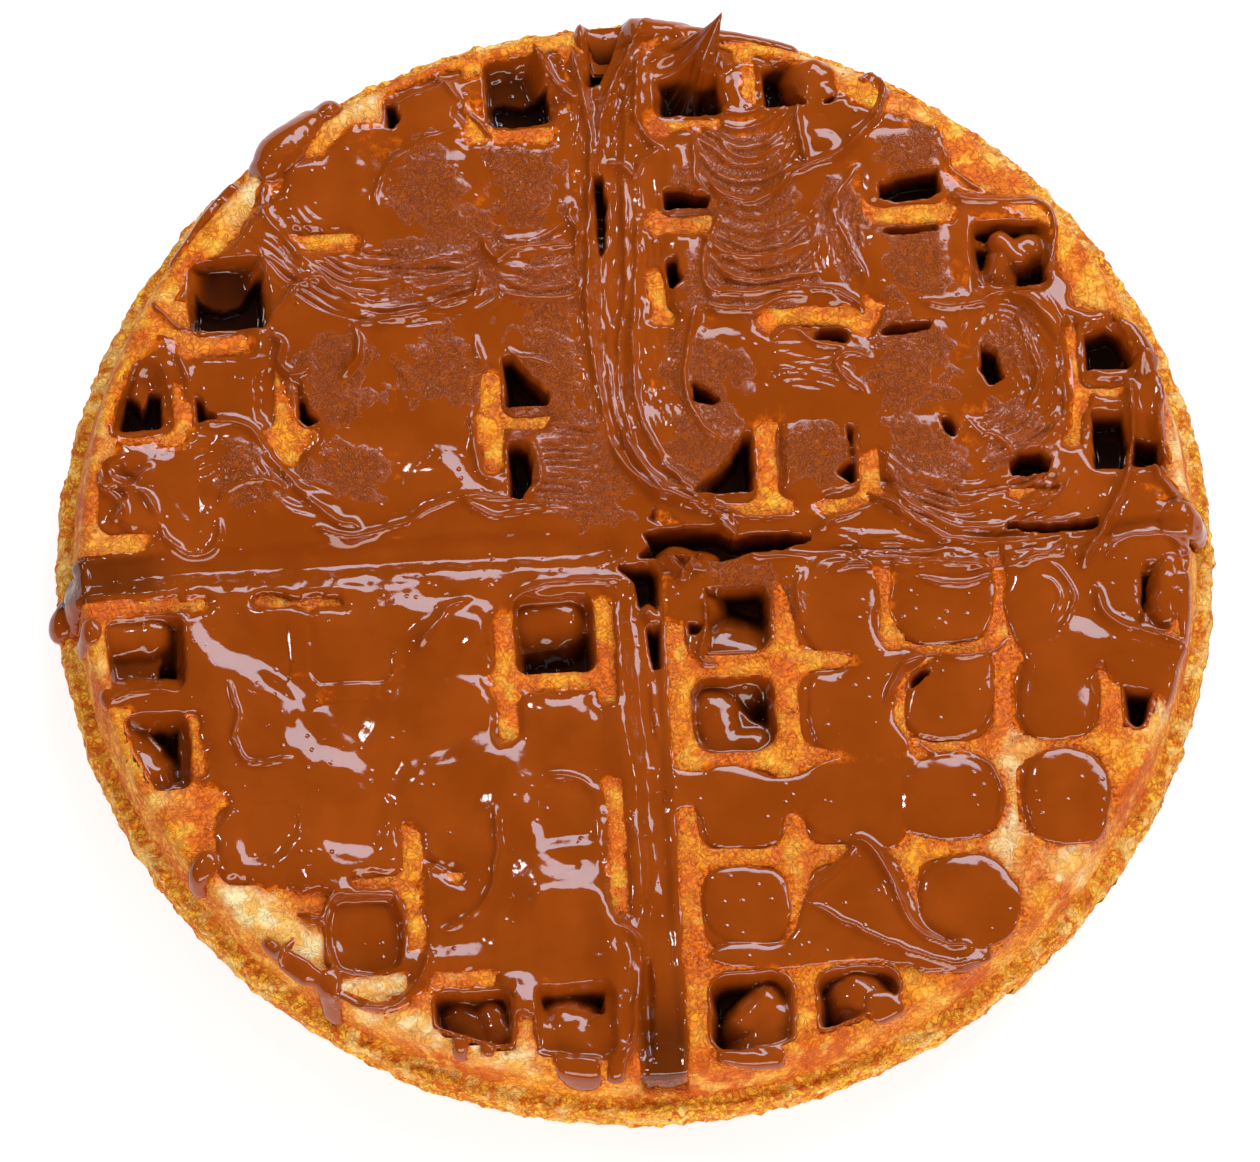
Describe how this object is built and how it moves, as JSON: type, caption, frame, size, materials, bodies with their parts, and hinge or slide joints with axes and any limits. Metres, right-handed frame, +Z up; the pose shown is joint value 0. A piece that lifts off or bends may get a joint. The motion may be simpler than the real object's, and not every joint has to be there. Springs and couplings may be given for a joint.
{
  "type": "round waffle with chocolate spread",
  "caption": "Round thick waffle in four quarters with square pockets, a dividing cross and soft chocolate spread over the top.",
  "frame": {"origin": "centre of the face that the waffle rests on", "axes": "+Z up, +X and +Y along the two arms of the dividing cross"},
  "size_m": [0.1883, 0.1871, 0.0347],
  "materials": {
    "baked_batter": "baked crust, dry, slightly porous",
    "chocolate": "soft spread, glossy"
  },
  "bodies": {
    "root": {"waffle": "baked_batter", "chocolate_spread": "chocolate", "chocolate_pool_1": "chocolate", "chocolate_pool_2": "chocolate"}
  },
  "joints": []
}
